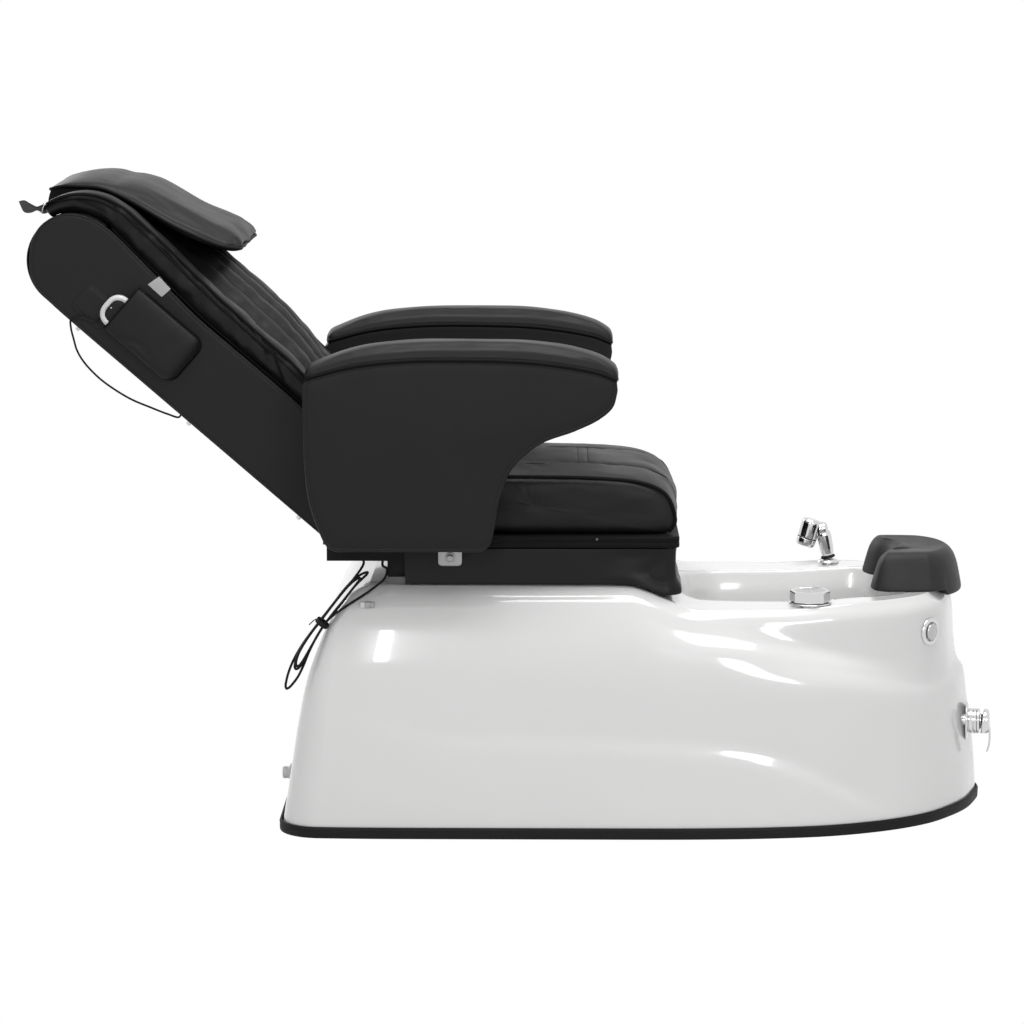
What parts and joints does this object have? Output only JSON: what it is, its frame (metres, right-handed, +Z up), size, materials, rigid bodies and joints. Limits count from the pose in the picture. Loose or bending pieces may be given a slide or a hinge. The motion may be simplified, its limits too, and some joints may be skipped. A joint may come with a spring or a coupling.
{
  "type": "pedicure spa chair",
  "caption": "Pedicure spa chair with a glossy boat-shaped foot basin base, a sliding upholstered seat with padded arms, and a reclining massage backrest with a head pillow.",
  "frame": {"origin": "on the floor, at the middle of the underside of the base's middle steel cross bar", "axes": "+X the way the sitter faces, towards the foot basin; +Y to the sitter's left; +Z up"},
  "size_m": [1.716, 0.706, 1.1437],
  "materials": {
    "gel_coat": "white high-gloss gel coat over a moulded fibreglass shell",
    "black_vinyl": "soft black grained upholstery vinyl over foam",
    "foam_skin": "charcoal self-skinned foam with a satin surface",
    "chrome": "polished chrome plate",
    "steel": "zinc-plated steel",
    "black_steel": "black powder coat on steel",
    "black_rubber": "matt black rubber or flexible sheath",
    "dark_plastic": "matt dark plastic",
    "grey_plastic": "light grey satin plastic",
    "white_plastic": "white nylon"
  },
  "bodies": {
    "base": {"base_shell": "gel_coat", "basin_bowl": "gel_coat", "kick_band": "black_rubber", "frame_cross_rear": "black_steel", "frame_cross_mid": "black_steel", "frame_cross_front": "black_steel", "deck_support_near": "black_steel", "deck_support_far": "black_steel", "water_pump": "dark_plastic", "control_box": "grey_plastic", "drain_body": "chrome", "drain_hose": "black_rubber", "rear_outlet": "white_plastic", "jet_near": "grey_plastic", "jet_far": "grey_plastic", "diverter_flange": "chrome", "shower_flange": "chrome", "button_bezel": "chrome", "mixer_body": "chrome", "slide_track_near": "steel", "slide_track_far": "steel", "cable_harness": "black_rubber", "harness_connector": "white_plastic"},
    "seat": {"seat_rail_near": "black_steel", "seat_rail_far": "black_steel", "seat_cross": "black_steel", "seat_board": "black_vinyl", "seat_cushion": "black_vinyl", "seat_skirt": "dark_plastic", "arm_panel_near": "black_vinyl", "arm_panel_far": "black_vinyl", "arm_pad_near": "black_vinyl", "arm_pad_far": "black_vinyl", "arm_bracket_near": "steel", "arm_bracket_far": "steel"},
    "backrest": {"recline_shaft": "steel", "back_frame": "black_steel", "back_side_near": "black_vinyl", "back_side_far": "black_vinyl", "back_rear_cover": "black_vinyl", "back_pad": "black_vinyl", "remote_pocket": "black_vinyl", "remote_cord": "black_rubber"},
    "actuator_tube": {"recline_actuator_tube": "steel"},
    "actuator_rod": {"recline_actuator_rod": "steel"},
    "massage_unit": {"massage_carriage": "dark_plastic"},
    "kneading_shaft": {"kneading_rotor": "dark_plastic"},
    "pillow": {"head_pillow": "black_vinyl"},
    "handset": {"remote": "grey_plastic"},
    "key_up": {"remote_button_up": "dark_plastic"},
    "key_down": {"remote_button_down": "dark_plastic"},
    "footrest": {"footrest_pad": "foam_skin"},
    "diverter": {"diverter_knob": "chrome"},
    "spa_button": {"air_button": "chrome"},
    "temperature_cap": {"mixer_cap": "chrome"},
    "flow_lever": {"mixer_lever": "chrome"},
    "shower": {"shower_neck": "chrome", "shower_hose": "steel"},
    "spray_head": {"shower_head": "chrome"},
    "stopper": {"drain_stopper": "chrome"}
  },
  "joints": [
    {"name": "seat_slide", "type": "slide", "parent": "base", "child": "seat", "axis": [1, 0, 0], "range_m": [0, 0.15]},
    {"name": "backrest_recline", "type": "hinge", "parent": "seat", "child": "backrest", "pos_m": [-0.51298, 0, 0.59585], "axis": [0, 1, 0], "range_deg": [0, 30]},
    {"name": "actuator_tilt", "type": "hinge", "parent": "seat", "child": "actuator_tube", "pos_m": [-0.19, 0, 0.466], "axis": [0, 1, 0], "range_deg": [0, 1.72]},
    {"name": "actuator_stroke", "type": "slide", "parent": "actuator_tube", "child": "actuator_rod", "axis": [-0.9981, 0, 0.0613], "range_m": [0, 0.0561]},
    {"name": "massage_travel", "type": "slide", "parent": "backrest", "child": "massage_unit", "axis": [-0.7547, 0, 0.6561], "range_m": [0, 0.35]},
    {"name": "kneading_turn", "type": "hinge", "parent": "massage_unit", "child": "kneading_shaft", "pos_m": [-0.6111, 0, 0.71161], "axis": [0, 1, 0], "continuous": true},
    {"name": "pillow_flip", "type": "hinge", "parent": "backrest", "child": "pillow", "pos_m": [-1.02935, 0, 1.11759], "axis": [0, -1, 0], "range_deg": [0, 110]},
    {"name": "handset_lift", "type": "slide", "parent": "backrest", "child": "handset", "axis": [-0.7547, 0, 0.6561], "range_m": [0, 0.14]},
    {"name": "key_up_press", "type": "slide", "parent": "handset", "child": "key_up", "axis": [0, 1, 0], "range_m": [0, 0.0012], "stiffness_N_per_m": 300},
    {"name": "key_down_press", "type": "slide", "parent": "handset", "child": "key_down", "axis": [0, 1, 0], "range_m": [0, 0.0012], "stiffness_N_per_m": 300},
    {"name": "footrest_lift", "type": "slide", "parent": "base", "child": "footrest", "axis": [0, 0, 1], "range_m": [0, 0.06]},
    {"name": "diverter_turn", "type": "hinge", "parent": "base", "child": "diverter", "pos_m": [0.322, -0.21, 0.4], "axis": [0, 0, 1], "range_deg": [-90, 90]},
    {"name": "spa_button_press", "type": "slide", "parent": "base", "child": "spa_button", "axis": [-0.7431, 0.6691, 0], "range_m": [0, 0.0025], "stiffness_N_per_m": 800},
    {"name": "temperature_turn", "type": "hinge", "parent": "base", "child": "temperature_cap", "pos_m": [0.64191, -0.06395, 0.152], "axis": [0.9903, -0.1392, 0], "range_deg": [-45, 45]},
    {"name": "flow_lift", "type": "hinge", "parent": "temperature_cap", "child": "flow_lever", "pos_m": [0.64191, -0.06395, 0.152], "axis": [-0.1392, -0.9903, 0], "range_deg": [0, 18]},
    {"name": "shower_pull", "type": "slide", "parent": "base", "child": "shower", "axis": [0, 0, 1], "range_m": [0, 0.1]},
    {"name": "spray_tilt", "type": "hinge", "parent": "shower", "child": "spray_head", "pos_m": [0.38102, 0.21, 0.45249], "axis": [0, 1, 0], "range_deg": [0, 25]},
    {"name": "stopper_lift", "type": "slide", "parent": "base", "child": "stopper", "axis": [0, 0, 1], "range_m": [0, 0.01]}
  ],
  "couplings": [
    {"joint": "actuator_tilt", "follows": "backrest_recline", "ratio": 0.057},
    {"joint": "actuator_stroke", "follows": "backrest_recline", "m_per_rad": 0.1069}
  ]
}
